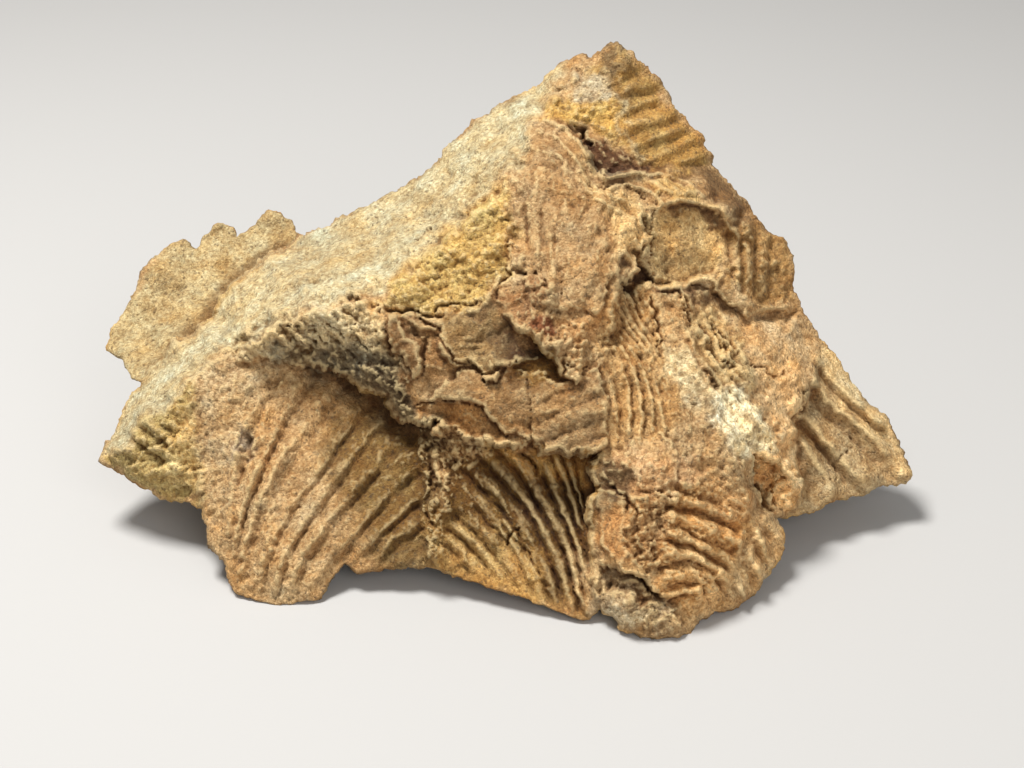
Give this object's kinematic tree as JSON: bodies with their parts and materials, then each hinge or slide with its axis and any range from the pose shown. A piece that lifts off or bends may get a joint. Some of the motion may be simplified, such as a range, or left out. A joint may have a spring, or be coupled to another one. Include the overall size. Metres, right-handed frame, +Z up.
{
  "type": "fossil shell stone",
  "caption": "Rough chunk of brown sedimentary stone with ribbed clam shell moulds on its broken faces, coming to a peak at one side.",
  "frame": {"origin": "centre of the stone's bounding box, on the surface that it rests on", "axes": "+Z up, -Y towards the face with the shell moulds, +X towards the wing at the right of that face"},
  "size_m": [0.0526, 0.035, 0.0274],
  "materials": {
    "siltstone": "rough, grainy, iron-stained brown to ochre"
  },
  "bodies": {
    "root": {"fossil_clam": "siltstone"}
  },
  "joints": []
}
